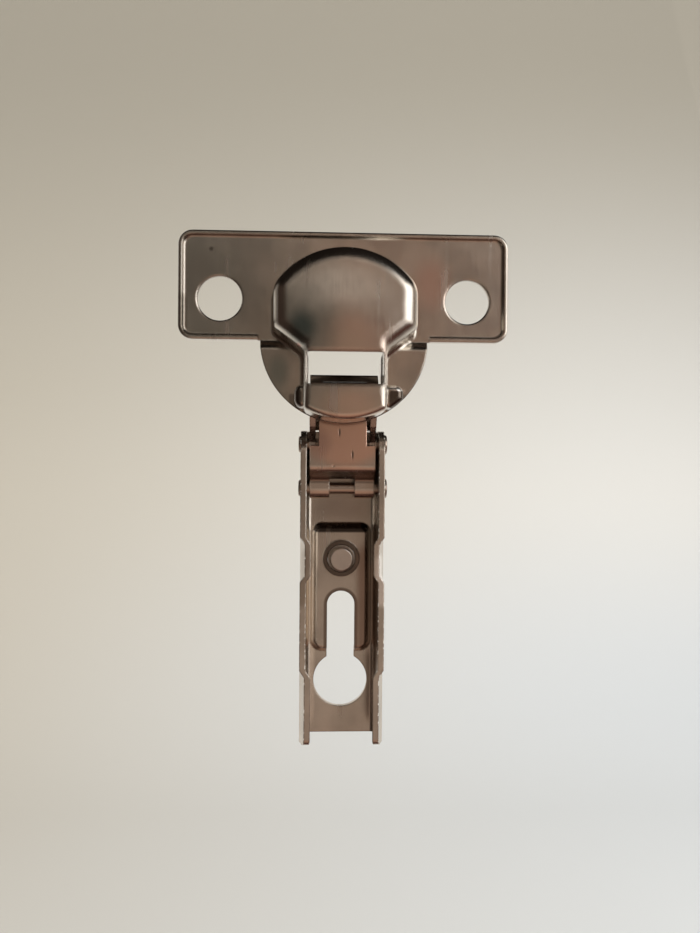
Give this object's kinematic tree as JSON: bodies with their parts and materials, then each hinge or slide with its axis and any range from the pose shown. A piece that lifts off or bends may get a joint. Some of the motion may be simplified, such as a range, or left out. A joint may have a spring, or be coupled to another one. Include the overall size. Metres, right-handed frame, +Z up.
{
  "type": "concealed cabinet hinge",
  "caption": "Concealed cup hinge for a cabinet door: a stepped cup with two screw wings, two links and a folded keyhole arm that slides onto a mounting plate.",
  "frame": {"origin": "centre of the keyhole, in the face of the arm's web that looks away from the door", "axes": "+X along the hinge pins, +Z up the arm to the cup, -Y towards the side that goes into the door"},
  "size_m": [0.069, 0.0235, 0.1081],
  "materials": {
    "arm_steel": "satin nickel plate",
    "cup_steel": "satin nickel plate",
    "link_steel": "satin nickel plate with fine scratches",
    "rivet_steel": "satin nickel plate",
    "spring_steel": "bright drawn wire",
    "screw_steel": "nickel plate, turned"
  },
  "bodies": {
    "arm": {"arm": "arm_steel", "arm_pin_front": "rivet_steel", "arm_pin_rear": "rivet_steel", "closing_spring": "spring_steel"},
    "outer_link": {"outer_link": "link_steel"},
    "inner_link": {"inner_link": "link_steel"},
    "cup": {"cup": "cup_steel", "cup_pin": "rivet_steel"},
    "screw": {"side_adjust_screw": "screw_steel"}
  },
  "joints": [
    {"name": "outer_link_swing", "type": "hinge", "parent": "arm", "child": "outer_link", "pos_m": [0, -0.0041, 0.0523], "axis": [1, 0, 0], "range_deg": [0, 16.52]},
    {"name": "cup_turn", "type": "hinge", "parent": "outer_link", "child": "cup", "pos_m": [0, -0.01425, 0.06135], "axis": [1, 0, 0], "range_deg": [-106.5, 0]},
    {"name": "inner_link_swing", "type": "hinge", "parent": "arm", "child": "inner_link", "pos_m": [0, -0.0042, 0.0427], "axis": [1, 0, 0], "range_deg": [-5.55, 0]},
    {"name": "screw_adjust", "type": "slide", "parent": "arm", "child": "screw", "axis": [0, 1, 0], "range_m": [-0.0015, 0.0015]}
  ],
  "couplings": [
    {"joint": "outer_link_swing", "follows": "cup_turn", "ratio": -0.155},
    {"joint": "inner_link_swing", "follows": "cup_turn", "ratio": 0.052}
  ]
}
